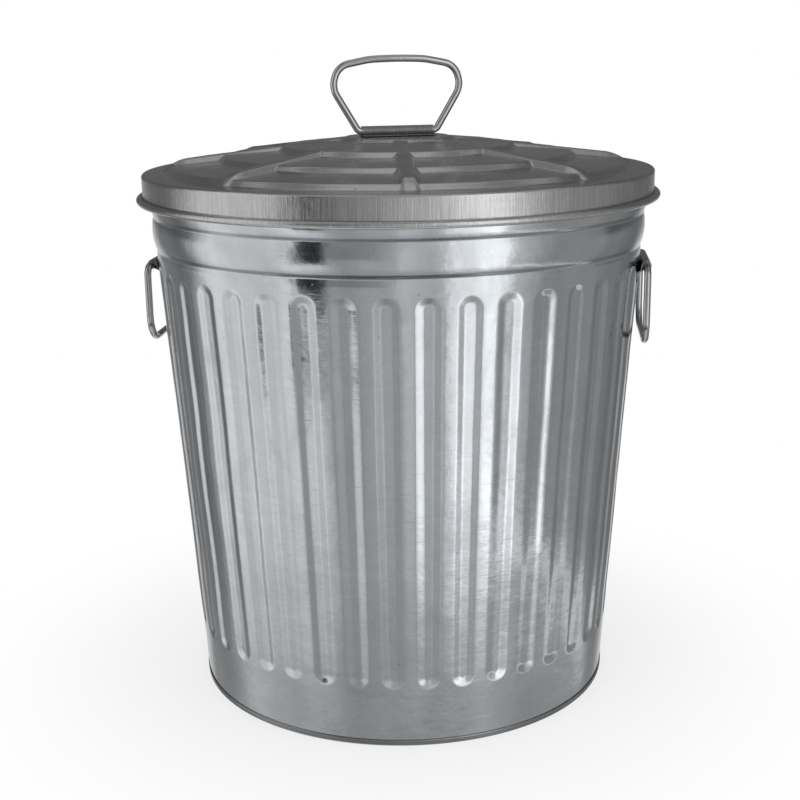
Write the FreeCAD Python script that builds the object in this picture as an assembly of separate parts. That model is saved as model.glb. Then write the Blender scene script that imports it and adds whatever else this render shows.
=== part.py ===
import FreeCAD, Part
import math
import os
from FreeCAD import Rotation, Vector

# Galvanized steel trash can with a lift-off lid. Millimetres, +Z up, origin at the centre of the
# base, the two side handles on the X axis and the lock seam at the back (+Y). Round sheet pieces
# are turned with many flat sides, none more than a third of a millimetre inside the true circle.

# ---- sheet and wire stock -------------------------------------------------------------------
sheet = 0.6                    # body, bottom and lid sheet
strap_sheet = 1.0              # heavier strip that the ears and the lid strap are folded from
wire_d = 5.5                   # handle wire
pin_clearance = 0.08           # radial play of a handle wire in its rolled eye
seat_gap = 0.05                # gap between sheets that are folded or welded together
rest_gap = 0.3                 # gap where the lid sits on the rim
wire_end_gap = 0.5             # half of the gap where a handle wire's two ends meet

# ---- can body -------------------------------------------------------------------------------
base_r = 167.5                 # outside radius of the wall at the floor
wall_taper = 0.0691            # outward lean of the wall, mm of radius per mm of height
rim_top = 415.4                # height of the can without its lid
lower_crease_drop = 56.4       # rim down to the crease under the lower bead
middle_crease_drop = 31.4      # rim down to the crease between the two beads
neck_drop = 8.4                # rim down to the top of the upper bead
bead_rise = 2.1                # how far each bead swells out of the line between its creases
middle_set_in = 0.1            # the middle crease lies this far inside the cone
neck_set_in = 1.3              # so does the drawn-in neck below the rim
rim_roll_r = 2.85              # section radius of the rolled rim

# ---- flutes pressed into the wall -----------------------------------------------------------
flute_count = 40
flute_pitch = 8.82             # degrees from flute to flute
flute_half_angle = 2.85        # half of a flute's width, degrees round the can
flute_margin = 0.2             # degrees of flat wall on each side of it
flute_low_z = 47.5             # lower end of a flute
flute_high_drop = 68.9         # rim down to its upper end
flute_depth = 1.35             # below the wall's surface
flute_side_run = 5.6           # width of each sloping side
flute_end_facets = 3           # facets round each end

# ---- vertical lock seam ---------------------------------------------------------------------
seam_turn = 1.3                # degrees that the seam lies off the back, towards +X
seam_width = 7.0
seam_rise = 0.9                # proud of the wall
seam_low_z = 5.5               # starts just above the bottom hoop

# ---- bottom ---------------------------------------------------------------------------------
hoop_height = 4.5              # folded hoop round the foot of the wall
floor_z = 9.0                  # inside floor above the ground

# ---- side handles and their ears ------------------------------------------------------------
hinge_drop = 72.4              # rim down to the side handles' axis
hinge_stand_off = 0.35         # gap between an ear's roll and the wall
ear_length = 61.0              # along the hinge axis
ear_tongue = 15.5              # axis down to the tip of the tongue below the roll
ear_tip_length = 34.0          # straight length of the tongue's lower edge
ear_corner_drop = 8.0          # axis down to where the tongue starts to narrow
side_handle_drop = 59.0        # axis to the middle of the grip
side_handle_half_width = 45.5
side_handle_grip_bend = 20.0   # bend radii of the wire's middle line
side_handle_top_bend = 8.0

# ---- lid: heights are rises above the outer edge of its ledge -------------------------------
lid_side_gap = 1.0             # between the rim and the inside of the skirt
skirt_depth = 19.5             # ledge down to the middle of the roll at the skirt's foot
skirt_roll_r = 2.8             # section radius of that roll
ledge_set_in = 1.4             # flat bend between the ledge and the skirt
crown = ((0.0, 25.0), (41.5, 24.7))              # radius and rise of the middle and its edge
first_step = ((45.3, 22.1), (89.5, 18.9))        # inner and outer edge of each pressed step
second_step = ((93.3, 14.9), (135.5, 12.0))
third_step = ((141.0, 8.0), (178.0, 4.9))
ledge_inside = (182.0, 0.8)    # foot of the last flank
spoke_count = 8
spoke_half_width = 4.5         # half of a spoke's flat crest; its sides slope at 45 degrees
spoke_crest = ((40.0, 24.1), (45.0, 23.5), (168.0, 9.7), (174.0, 7.9), (179.0, 5.2), (186.0, 0.2))
lid_turn = 8.5                 # degrees that the lid is turned on the can

# ---- lid strap and handle -------------------------------------------------------------------
strap_turn = 16.0              # degrees from the X axis
strap_length = 57.0
strap_half_width = 13.0        # middle of the roll to the outer edge of a welded flange
handle_seat = (31.1, 0.0)      # half of the handle's outline: across, and up from its axis
handle_widest = (50.9, 33.1)
handle_shoulder = (46.5, 49.8)
handle_brow = (22.0, 54.9)
handle_peak = (0.0, 55.9)
handle_bends = (4.5, 16.0, 14.0, 60.0, 340.0)    # bend at each of those points

# ---- flat sides of round pieces -------------------------------------------------------------
seam_land_sides = 2            # of the plain wall between the first and the last flute
lid_sides = 56
wire_sides = 12
wire_bend_step = 30.0          # degrees of a wire's bend in one flat piece, at most
roll_sides = 6                 # of the rolled rim and of the roll at the skirt's foot

# ---- worked out from the sizes above --------------------------------------------------------
taper_angle = math.atan(wall_taper)
wire_r = wire_d / 2
eye_r = wire_r + pin_clearance                   # bore of a rolled eye
roll_r = eye_r + strap_sheet                     # outside of a rolled eye


def wall_r(z):
    """Outside radius of the plain conical wall at height z."""
    return base_r + wall_taper * z


lower_crease_z = rim_top - lower_crease_drop
middle_crease_z = rim_top - middle_crease_drop
neck_z = rim_top - neck_drop
flute_high_z = rim_top - flute_high_drop
hinge_z = rim_top - hinge_drop
neck_r = wall_r(neck_z) - neck_set_in
rim_middle_r = neck_r - sheet + rim_roll_r       # the roll's inner side is flush with the neck
roll_turn = 2 * math.pi / roll_sides             # from one corner of a roll to the next
rim_middle_z = rim_top - rim_roll_r * math.cos(roll_turn / 2)
lid_r = rim_middle_r + rim_roll_r + lid_side_gap + sheet
ledge_z = rim_top + rest_gap + sheet             # outer edge of the lid's ledge
crown_z = ledge_z + crown[0][1]
skirt_low_z = ledge_z - skirt_depth
hinge_x = wall_r(hinge_z) + hinge_stand_off + roll_r
strap_seat_z = crown_z + seat_gap
strap_axis_z = strap_seat_z + roll_r


# ---- helpers --------------------------------------------------------------------------------
def flat_solid(quads):
    """Closed solid of flat faces, given by their corners."""
    faces = []
    for quad in quads:
        corners = [c for i, c in enumerate(quad) if not c.isEqual(quad[i - 1], 1e-6)]
        if len(corners) > 2:
            faces.append(Part.Face(Part.makePolygon(corners + corners[:1])))
    return Part.makeSolid(Part.makeShell(faces))


def ring_quads(rings, closed):
    """Quads between neighbouring rings of corners, and from the last to the first if closed."""
    quads = []
    for ring, after in zip(rings, rings[1:] + (rings[:1] if closed else [])):
        for i in range(len(ring)):
            quads.append([ring[i - 1], ring[i], after[i], after[i - 1]])
    return quads


def flat_sided(rings):
    """Solid through rings that have as many corners and parallel sides, with flat ends."""
    return flat_solid([rings[0], rings[-1]] + ring_quads(rings, False))


def turned(points, angles):
    """Solid turned about Z through the given angles in degrees, from a closed profile (r, z)."""
    rings = []
    for angle in angles:
        a = math.radians(angle)
        rings.append([Vector(r * math.cos(a), r * math.sin(a), z) for r, z in points])
    return flat_solid(ring_quads(rings, True)).removeSplitter()


def turned_about_z(shape, angle):
    copy = shape.copy()
    copy.rotate(Vector(0, 0, 0), Vector(0, 0, 1), angle)
    return copy


def revolved(points):
    """True solid of revolution from a closed profile (r, z)."""
    corners = [Vector(r, 0, z) for r, z in points]
    face = Part.Face(Part.makePolygon(corners + corners[:1]))
    return face.revolve(Vector(0, 0, 0), Vector(0, 0, 1), 360)


def roll_corners(middle_r, middle_z, radius, first, last):
    """Corners of a rolled edge's many-sided section, from the first to the last."""
    step = 1 if last > first else -1
    angles = [roll_turn * i for i in range(first, last + step, step)]
    return [(middle_r + radius * math.cos(a), middle_z + radius * math.sin(a)) for a in angles]


def bent_wire(points, radii, normal):
    """Wire of straight runs and tangent bends in the plane across normal, a radius for each bend."""
    rings = []

    def add_ring(middle, ahead):
        across = ahead.cross(normal)
        turns = [2 * math.pi * i / wire_sides for i in range(wire_sides)]
        rings.append([middle + (across * math.cos(a) + normal * math.sin(a)) * wire_r for a in turns])
    add_ring(points[0], (points[1] - points[0]).normalize())
    for before, corner, after, radius in zip(points, points[1:], points[2:], radii):
        ahead_in = (corner - before).normalize()
        ahead_out = (after - corner).normalize()
        turn = ahead_in.getAngle(ahead_out)
        centre = corner + (ahead_out - ahead_in).normalize() * (radius / math.cos(turn / 2))
        from_centre = corner - ahead_in * radius * math.tan(turn / 2) - centre
        axis = ahead_in.cross(ahead_out)
        pieces = math.ceil(math.degrees(turn) / wire_bend_step)
        for i in range(pieces + 1):
            rotation = Rotation(axis, math.degrees(turn) * i / pieces)
            add_ring(centre + rotation.multVec(from_centre), rotation.multVec(ahead_in))
    add_ring(points[-1], (points[-1] - points[-2]).normalize())
    return flat_sided(rings)


def save(name, shape):
    """Write one sub-part and print what it holds."""
    if not shape.isValid():
        print("NOT VALID", name)
    shape.exportStep("parts/" + name + ".step")
    print("%-14s solids %d  volume %.0f" % (name, len(shape.Solids), shape.Volume))


# ---- can body -------------------------------------------------------------------------------
def bead(low, high):
    """Points of a bead that swells out evenly between two creases (r, z)."""
    length = math.hypot(high[0] - low[0], high[1] - low[1])
    outward = ((high[1] - low[1]) / length, (low[0] - high[0]) / length)
    points = []
    for share in (1 / 3, 2 / 3):
        rise = bead_rise * math.sin(math.pi * share)
        points.append((low[0] + (high[0] - low[0]) * share + outward[0] * rise,
                       low[1] + (high[1] - low[1]) * share + outward[1] * rise))
    return points


def wall_line(foot_z):
    """Outside line of the wall, from a height over both beads to the neck."""
    lower = (wall_r(lower_crease_z), lower_crease_z)
    middle = (wall_r(middle_crease_z) - middle_set_in, middle_crease_z)
    neck = (neck_r, neck_z)
    return [(wall_r(foot_z), foot_z), lower, *bead(lower, middle), middle, *bead(middle, neck), neck]


def flute_angles():
    """Angles of the flutes from +X, spread evenly either side of the point across from the seam."""
    middle = (flute_count - 1) / 2
    return [(i - middle) * flute_pitch - seam_turn - 90 for i in range(flute_count)]


def wall_angles():
    """Corners of the many-sided wall: both edges of each flute's flat, and the land at the seam."""
    half = flute_half_angle + flute_margin
    angles = []
    for middle in flute_angles():
        angles += [middle - half, middle + half]
    land = 360 + angles[0] - angles[-1]
    return angles + [angles[-1] + land * i / seam_land_sides for i in range(1, seam_land_sides)]


def flute_punch(grow, top, bottom):
    """Drafted punch of one flute on the flat at +X, from height top above it down to bottom."""
    set_in = math.cos(math.radians(flute_half_angle + flute_margin))
    lean = math.atan(wall_taper * set_in)
    spread = math.tan(math.radians(flute_half_angle)) * set_in
    half_low = spread * wall_r(flute_low_z)
    half_high = spread * wall_r(flute_high_z)
    length = (flute_high_z - flute_low_z) / math.cos(lean) - half_low - half_high
    draft = flute_side_run / flute_depth
    turns = [math.pi * i / flute_end_facets for i in range(flute_end_facets + 1)]

    def ring(height):
        extra = grow + draft * height
        high = [(half_high + extra, half_low + length, a) for a in turns]
        low = [(half_low + extra, half_low, a + math.pi) for a in turns]
        return [Vector(r * math.cos(a), y + r * math.sin(a), height) for r, y, a in high + low]
    punch = flat_sided([ring(bottom), ring(top)])
    upright = Rotation(Vector(0, 0, 1), 90).multiply(Rotation(Vector(1, 0, 0), 90 + math.degrees(lean)))
    foot = Vector(wall_r(flute_low_z) * set_in, 0, flute_low_z)
    punch.transformShape(FreeCAD.Placement(foot, upright).toMatrix())
    return punch


def lock_seam():
    """Folded vertical seam that closes the sheet at the back, following both beads."""
    half = math.degrees(seam_width / 2 / wall_r(lower_crease_z))
    line = wall_line(seam_low_z)
    raised = [(r + seam_rise, z) for r, z in line]
    sunk = [(r - sheet / 2, z) for r, z in line]
    rings = [[Vector(r, r * math.tan(math.radians(a)), z) for r, z in raised + sunk[::-1]]
             for a in (-half, half)]
    return turned_about_z(flat_sided(rings), 90 - seam_turn)


def body_wall():
    """Tapered wall: fluted, beaded, seamed at the back and rolled over at the rim."""
    outside = wall_line(sheet + seat_gap)
    rim = roll_corners(rim_middle_r, rim_middle_z, rim_roll_r, -roll_sides // 3, roll_sides // 2)
    roll_foot = (neck_r, rim_middle_z - sheet * math.tan(roll_turn))
    inside = [(r - sheet, z) for r, z in outside]
    wall = turned(outside + [roll_foot] + rim + inside[::-1], wall_angles())
    side_slope = flute_depth / flute_side_run
    grow = sheet * math.hypot(1, side_slope) / side_slope
    pressed = flute_punch(grow, -0.75 * sheet, -flute_depth - sheet)
    cut = flute_punch(0.0, sheet, -flute_depth)
    wall = wall.fuse([turned_about_z(pressed, angle) for angle in flute_angles()])
    wall = wall.cut([turned_about_z(cut, angle) for angle in flute_angles()])
    return wall.fuse(lock_seam()).removeSplitter()


def bottom_pan():
    """Pressed floor whose edge is folded round the foot of the wall as a hoop."""
    hoop_r = wall_r(0) + seat_gap + sheet
    leg_r = wall_r(0) - sheet - seat_gap
    lean = wall_taper * hoop_height
    rise = wall_taper * floor_z
    profile = [(hoop_r, 0), (hoop_r + lean, hoop_height), (hoop_r + lean - sheet, hoop_height),
               (hoop_r - sheet, sheet), (leg_r, sheet), (leg_r + rise, floor_z), (0, floor_z),
               (0, floor_z - sheet), (leg_r - sheet + rise, floor_z - sheet), (leg_r - sheet, 0)]
    return turned(profile, wall_angles())


# ---- ears and side handles, built on +X and turned to -X ------------------------------------
def ear():
    """Strip folded round the handle wire, with a tongue that follows the wall."""
    half = ear_length / 2
    leaf = 2 * strap_sheet + seat_gap
    low = hinge_z - ear_tongue
    corner = hinge_z - ear_corner_drop
    high = hinge_z + roll_r
    axis = Vector(hinge_x, -half, hinge_z)
    folded = Part.makeCylinder(roll_r, ear_length, axis, Vector(0, 1, 0))
    neck = Part.makeBox(roll_r, ear_length, roll_r, Vector(hinge_x - roll_r, -half, hinge_z - roll_r))
    shield = [(-half, hinge_z), (-half, corner), (-ear_tip_length / 2, low),
              (ear_tip_length / 2, low), (half, corner), (half, hinge_z)]
    prism = Part.Face(Part.makePolygon([Vector(0, y, z) for y, z in shield + shield[:1]]))
    prism = prism.extrude(Vector(2 * hinge_x, 0, 0))
    tongue = revolved([(wall_r(low), low), (wall_r(low) + leaf, low),
                       (wall_r(hinge_z) + leaf, hinge_z), (wall_r(hinge_z), hinge_z)]).common(prism)
    wall_side = revolved([(0, low - 1), (wall_r(low - 1) + seat_gap, low - 1),
                          (wall_r(high) + seat_gap, high), (0, high)])
    bore = Part.makeCylinder(eye_r, ear_length, axis, Vector(0, 1, 0))
    return tongue.fuse([neck, folded]).cut([wall_side, bore]).removeSplitter()


def side_handle():
    """Drop handle of bent wire whose ends meet inside the ear's roll."""
    half = side_handle_half_width
    path = [(wire_end_gap, 0), (half, 0), (half, side_handle_drop), (-half, side_handle_drop),
            (-half, 0), (-wire_end_gap, 0)]
    bends = [side_handle_top_bend, side_handle_grip_bend, side_handle_grip_bend, side_handle_top_bend]
    return bent_wire([Vector(hinge_x, y, hinge_z - drop) for y, drop in path], bends, Vector(1, 0, 0))


# ---- lid ------------------------------------------------------------------------------------
def spoke():
    """Ridge along +X whose flat crest slopes and rounds down outwards, to the depth of the ledge."""
    rings = []
    for r, rise in spoke_crest:
        half = spoke_half_width
        foot = half + rise + sheet
        rings.append([Vector(r, -foot, ledge_z - sheet), Vector(r, foot, ledge_z - sheet),
                      Vector(r, half, ledge_z + rise), Vector(r, -half, ledge_z + rise)])
    return flat_sided(rings)


def lid_steps(radius):
    """Profile of the lid's top, from the middle over its steps to the skirt at a radius."""
    steps = [*crown, *first_step, *second_step, *third_step, ledge_inside,
             (radius - ledge_set_in, 0.0), (radius, -ledge_set_in)]
    return [(r, ledge_z + rise) for r, rise in steps]


def with_spokes(form):
    return form.fuse([turned_about_z(spoke(), i * 360 / spoke_count) for i in range(spoke_count)])


def lid_pan():
    """Stamped lid: crown, three steps, eight spokes, ledge, skirt and a roll at its foot."""
    angles = [360 * i / lid_sides for i in range(lid_sides)]
    roll_head = (lid_r, skirt_low_z + sheet * math.tan(roll_turn))
    edge = roll_corners(lid_r - sheet + skirt_roll_r, skirt_low_z, skirt_roll_r,
                        roll_sides // 3, -roll_sides // 2)
    outside = turned(lid_steps(lid_r) + [roll_head] + edge + [(0, skirt_low_z)], angles)
    foot = skirt_low_z - skirt_roll_r
    inside = turned(lid_steps(lid_r - sheet) + [(lid_r - sheet, foot), (0, foot)], angles)
    hollow = with_spokes(inside)
    hollow.translate(Vector(0, 0, -sheet))
    return turned_about_z(with_spokes(outside).cut(hollow), lid_turn - 90).removeSplitter()


def lid_strap():
    """Strip folded over the handle wire, with a flange welded to the crown on each side."""
    half = strap_length / 2
    along = Vector(1, 0, 0)
    axis = Vector(-half, 0, strap_axis_z)
    folded = Part.makeCylinder(roll_r, strap_length, axis, along)
    flange = Part.makeBox(strap_length, 2 * strap_half_width, strap_sheet,
                          Vector(-half, -strap_half_width, strap_seat_z))
    bore = Part.makeCylinder(eye_r, strap_length, axis, along)
    return turned_about_z(folded.fuse(flange).cut(bore), strap_turn)


def lid_handle():
    """Upright wire bail whose ends meet inside the strap."""
    right = [(wire_end_gap, 0.0), handle_seat, handle_widest, handle_shoulder, handle_brow]
    left = [(-across, up) for across, up in reversed(right)]
    path = [Vector(across, 0, strap_axis_z + up) for across, up in right + [handle_peak] + left]
    bends = list(handle_bends) + list(reversed(handle_bends[:-1]))
    return turned_about_z(bent_wire(path, bends, Vector(0, 1, 0)), strap_turn)


os.makedirs("parts", exist_ok=True)
save("body_wall", body_wall())
save("bottom_pan", bottom_pan())
for side, angle in (("right", 0), ("left", 180)):
    save(side + "_ear", turned_about_z(ear(), angle))
    save(side + "_handle", turned_about_z(side_handle(), angle))
save("lid_pan", lid_pan())
save("lid_strap", lid_strap())
save("lid_handle", lid_handle())
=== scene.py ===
import math

import bpy
import numpy as np
from mathutils import Matrix, Vector


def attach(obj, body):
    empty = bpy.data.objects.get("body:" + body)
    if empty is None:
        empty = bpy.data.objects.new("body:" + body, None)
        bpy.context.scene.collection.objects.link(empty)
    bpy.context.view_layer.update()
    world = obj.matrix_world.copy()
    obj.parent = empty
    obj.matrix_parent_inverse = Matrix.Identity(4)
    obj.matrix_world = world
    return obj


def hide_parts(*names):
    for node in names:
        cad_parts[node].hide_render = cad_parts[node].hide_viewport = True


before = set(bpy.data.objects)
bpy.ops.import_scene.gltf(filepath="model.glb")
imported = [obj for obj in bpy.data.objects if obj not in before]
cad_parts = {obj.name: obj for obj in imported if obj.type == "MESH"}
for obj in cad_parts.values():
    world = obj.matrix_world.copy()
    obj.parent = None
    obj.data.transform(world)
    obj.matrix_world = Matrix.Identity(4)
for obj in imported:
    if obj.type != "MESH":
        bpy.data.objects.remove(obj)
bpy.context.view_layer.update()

# Looks of a galvanized steel trash can. Shapes are worked out in millimetres, in the frame of the
# solids: +Z up, the side handles on X, the lock seam at the back (+Y).
MM = 0.001

# ---- stock and fits, as in the solids ---------------------------------------------------------
SHEET = 0.6
STRAP_SHEET = 1.0
WIRE_R = 2.75
EYE_R = WIRE_R + 0.08
ROLL_R = EYE_R + STRAP_SHEET
SEAT_GAP = 0.05

# ---- can body ---------------------------------------------------------------------------------
BASE_R = 167.5
WALL_TAPER = 0.0691                    # what the radius gains per millimetre of height
WALL_FOOT_Z = SHEET + SEAT_GAP
BEAD_CREASES = (359.0, 384.0, 407.0)   # crease heights: under, between and above the two beads
BEAD_RISE = 2.2
BEAD_FULLNESS = 0.62                   # power of a bead's half sine: under 1 it is fuller
BEAD_SOFTNESS = 0.8                    # spread of the average that softens the wall's profile
PROFILE_STEP = 0.2                     # height between the samples of that profile
CREASE_SET_IN = (0.75, 0.6, 1.3)       # how far each crease lies inside the cone
CREASE_HALF_WIDTH = 4.5                # a crease fades back into the plain wall over this height
CREASE_REACH = 3.0                     # rows of points lie close together this near to a crease
RIM_TOP = 415.4
RIM_ROLL_R = 2.85
RIM_ROLL_ARC = (-130, 172, 20)         # the roll's first and last angle, and its points
RIM_LANDING = 2.2                      # the neck ends this far under the roll's middle
JOIN_Z = 351.0                         # the fluted part and the beaded part of the wall meet here
WALL_DENTS = ((0.22, 95.0, 3), (0.075, 34.0, 4))   # depth, wave length and seed of each kind

# ---- flutes -----------------------------------------------------------------------------------
FLUTES = 40
FLUTE_PITCH = math.radians(8.82)
FLUTE_HALF = math.radians(2.85)
FLUTE_LOW_Z = 47.5
FLUTE_HIGH_Z = 346.5
FLUTE_DEPTH = 1.35
FLUTE_SIDE_RUN = 5.6
FLUTE_ROUNDING = 0.17                  # rounding at a side's edges, as a share of its run
# Columns of points across a flute's side, as shares of its run from the outer edge inwards.
FLUTE_EDGE_SHARES = (-0.55, -0.2, 0.0, 0.2, 0.4, 0.6, 0.8, 1.0, 1.2, 1.45)
FLUTE_MARGIN = 1.5                     # rows of points begin this far beyond a flute's ends
PRESS_SPREAD = 0.12                    # how unevenly the flutes are pressed, as a share of depth
PRESS_SEED = 5
LAND_COLUMNS = 12                      # columns over the plain land at the seam, with both ends
SEAM_TURN = math.radians(1.3)
SEAM_WIDTH = 7.0
SEAM_RISE = 0.9
SEAM_LOW_Z = 5.5
SEAM_FULLNESS = 0.35                   # power that makes the seam's half ellipse nearly square

# ---- bottom -----------------------------------------------------------------------------------
HOOP_HEIGHT = 4.5
FLOOR_Z = 9.0
FLOOR_RINGS = (80.0, 140.0)
HOOP_SIDES = 320

# ---- ears and side handles --------------------------------------------------------------------
HINGE_Z = 343.0
HINGE_STAND_OFF = 0.35
EAR_LENGTH = 61.0
EAR_LOW_Z = 327.5
EAR_TIP_LENGTH = 34.0
EAR_CORNER_Z = 335.0
SIDE_DROP = 59.0
SIDE_HALF_WIDTH = 45.5
SIDE_BENDS = (8.0, 20.0, 20.0, 8.0)
WIRE_END_GAP = 0.5
WIRE_SIDES = 28
BEND_STEP = 6                          # degrees of a bend between two sections of its wire

# ---- lid --------------------------------------------------------------------------------------
LID_R = 201.02
LEDGE_Z = 416.3
SKIRT_LOW_Z = 396.8
SKIRT_ROLL_R = 2.7
LID_CORNER_R = 2.0
STEP_RADII = (0.0, 41.5, 45.3, 89.5, 93.3, 135.5, 141.0, 178.0, 182.0, 199.0)
STEP_RISES = (25.0, 24.7, 22.1, 18.9, 14.9, 12.0, 8.0, 4.9, 0.8, 0.0)
SPOKES = 8
SPOKE_HALF_WIDTH = 4.5
SPOKE_RADII = (40.0, 45.0, 168.0, 174.0, 179.0, 186.0)
SPOKE_RISES = (24.1, 23.5, 9.7, 7.9, 5.2, 0.2)
STEP_ROUNDING = 1.1
SPOKE_ROUNDING = 2.0
SPOKE_FLANK = 1.3                      # rounding between a spoke's flat and its flank
SPOKE_FILLET = 0.9                     # fillet where a spoke grows out of the dish
LID_ROWS = ((3.0, 5), (38.0, 12), (48.5, 5), (86.5, 13), (96.5, 5), (132.5, 15), (144.0, 4),
            (164.0, 10), (174.5, 18), (187.5, 5), (198.9, 0))   # radius, rows to the next one
SKIRT_ROLL_ARC = (-185, 138, 24)
LID_DENTS = ((0.12, 70.0, 11), (0.05, 30.0, 12))
SKIRT_DENTS = ((0.06, 60.0, 21),)
LID_TURN = math.radians(8.5 - 90.0)

# ---- lid strap and handle ---------------------------------------------------------------------
STRAP_TURN = math.radians(16.0)
STRAP_LENGTH = 57.0
STRAP_HALF_WIDTH = 13.0
CRIMP_PITCH = 1.9
CRIMP_DEPTH = 0.15                     # as a share of the roll's radius
CRIMP_MIDDLE = 12.0                    # degrees above the wire's axis where crimps are deepest
CRIMP_SPREAD = 38.0
# The bail's corners, from the strap to its top. The top lies a little lower than the solid's, so
# that the round wire stays inside the box of its flat-sided one.
HANDLE_OUTLINE = ((31.1, 0.0), (50.9, 33.1), (46.5, 49.8), (22.0, 54.6), (0.0, 55.5))
HANDLE_BENDS = (4.5, 16.0, 14.0, 60.0, 340.0)

# ---- worked out from the sizes above ----------------------------------------------------------
NECK_R = BASE_R + WALL_TAPER * BEAD_CREASES[2] - CREASE_SET_IN[2]
RIM_MIDDLE_R = NECK_R - SHEET + RIM_ROLL_R
RIM_MIDDLE_Z = RIM_TOP - RIM_ROLL_R
HINGE_X = BASE_R + WALL_TAPER * HINGE_Z + HINGE_STAND_OFF + ROLL_R
CROWN_Z = LEDGE_Z + STEP_RISES[0]
STRAP_SEAT_Z = CROWN_Z + SEAT_GAP
STRAP_AXIS_Z = STRAP_SEAT_Z + ROLL_R


# ---- mesh helpers -----------------------------------------------------------------------------
SHARP_ANGLE = math.radians(50)         # an edge that turns by more than this is drawn sharp


def mesh_piece(name, points, faces):
    """Smooth-shaded object from points in millimetres and a list of face arrays (n, corners). A
    closed skin whose signed volume, the sum of a . (b x c) over its triangles, is negative is
    turned round, so that its faces point outwards."""
    points = np.asarray(points)
    volume = 0.0
    for f in faces:
        for k in range(1, f.shape[1] - 1):
            a, b, c = points[f[:, 0]], points[f[:, k]], points[f[:, k + 1]]
            volume += np.einsum("ij,ij->", a, np.cross(b, c))
    if volume < 0:
        faces = [f[:, ::-1] for f in faces]
    mesh = bpy.data.meshes.new(name)
    corners = np.concatenate([f.ravel() for f in faces]).astype(np.int32)
    sizes = np.concatenate([np.full(len(f), f.shape[1]) for f in faces])
    starts = np.concatenate([[0], np.cumsum(sizes)[:-1]]).astype(np.int32)
    mesh.vertices.add(len(points))
    mesh.vertices.foreach_set("co", (points * MM).astype(np.float32).ravel())
    mesh.loops.add(len(corners))
    mesh.loops.foreach_set("vertex_index", corners)
    mesh.polygons.add(len(sizes))
    mesh.polygons.foreach_set("loop_start", starts)
    mesh.polygons.foreach_set("use_smooth", np.ones(len(sizes), dtype=bool))
    mesh.update(calc_edges=True)
    mesh.validate()
    mesh.set_sharp_from_angle(angle=SHARP_ANGLE)
    piece = bpy.data.objects.new(name, mesh)
    bpy.context.scene.collection.objects.link(piece)
    return piece


def ring_faces(rows, columns, close_rows=False):
    """Quads of a grid of points numbered row by row. Its columns close on themselves, and so do
    its rows if close_rows."""
    index = np.arange(rows * columns).reshape(rows, columns)
    if close_rows:
        index = np.vstack([index, index[:1]])
    index = np.hstack([index, index[:, :1]])
    quads = np.stack([index[:-1, :-1], index[:-1, 1:], index[1:, 1:], index[1:, :-1]], -1)
    return quads.reshape(-1, 4)


def closed_ring(name, grid):
    """Ring-shaped piece: rows run round its section, columns round the axis, and both close."""
    rows, columns = grid.shape[:2]
    return mesh_piece(name, grid.reshape(-1, 3), [ring_faces(rows, columns, close_rows=True)])


def capped(name, grid):
    """Piece whose first and last row are each closed with a fan to their own middle point."""
    rows, columns = grid.shape[:2]
    middles = np.stack([grid[0].mean(0), grid[-1].mean(0)])
    points = np.vstack([grid.reshape(-1, 3), middles])
    ring = np.arange(columns)
    after = np.roll(ring, -1)
    low = np.stack([after, ring, np.full(columns, rows * columns)], -1)
    last = (rows - 1) * columns
    high = np.stack([last + ring, last + after, np.full(columns, rows * columns + 1)], -1)
    return mesh_piece(name, points, [ring_faces(rows, columns), low, high])


def strip(name, grid):
    """Folded strip: each row is a section whose first half runs along one side of the sheet and
    whose second half runs back along the other, so its two ends are closed across the sheet."""
    rows, columns = grid.shape[:2]
    along = np.arange(columns // 2 - 1)
    end = np.stack([along, along + 1, columns - 2 - along, columns - 1 - along], -1)
    ends = [end, end[:, ::-1] + (rows - 1) * columns]
    return mesh_piece(name, grid.reshape(-1, 3), [ring_faces(rows, columns)] + ends)


def polar(radius, angle, height):
    """Points at radius, angle and height, as one array of xyz."""
    radius, angle, height = np.broadcast_arrays(radius, angle, height)
    return np.stack([radius * np.cos(angle), radius * np.sin(angle), height], -1)


def spaced(*stops):
    """Values between stops (value, steps to the next stop), each stop once."""
    parts = [np.linspace(a, b, n, endpoint=False) for (a, n), (b, _) in zip(stops, stops[1:])]
    return np.concatenate(parts + [[stops[-1][0]]])


def soft_corner(x):
    """Zero below -1, x above 1, and the parabola (x + 1)^2 / 4 between them."""
    inside = np.clip(x, -1.0, 1.0)
    return (inside + 1.0) ** 2 / 4 + np.maximum(x - 1.0, 0.0)


def soft_line(x, knots, values, rounding):
    """Line through knots whose corners are rounded: each change of slope times a soft corner."""
    slopes = np.diff(values) / np.diff(knots)
    total = values[0] + slopes[0] * (x - knots[0])
    for knot, turn in zip(knots[1:-1], np.diff(slopes)):
        total = total + turn * rounding * soft_corner((x - knot) / rounding)
    return total


def soft_max(a, b, blend):
    """The larger of two heights, with a fillet where they differ by less than blend."""
    near = np.maximum(blend - np.abs(a - b), 0.0) / blend
    return np.maximum(a, b) + near ** 2 * blend / 4


def unevenness(angle, height, length, seed, terms=14):
    """Gentle dents: a sum of sine waves of about one wave length, whole numbers of them round."""
    random = np.random.default_rng(seed)
    total = 0.0
    for _ in range(terms):
        wave = 2 * math.pi / (length * random.uniform(0.7, 1.6))
        lean = random.uniform(0, 2 * math.pi)
        order = round(wave * math.cos(lean) * BASE_R)
        phase = random.uniform(0, 2 * math.pi)
        total = total + np.sin(order * angle + wave * math.sin(lean) * height + phase)
    return total / math.sqrt(terms)


def dents(kinds, angle, height):
    """Handling dents: the unevenness of each kind (depth, wave length, seed), added up."""
    return sum(depth * unevenness(angle, height, length, seed) for depth, length, seed in kinds)


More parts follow.
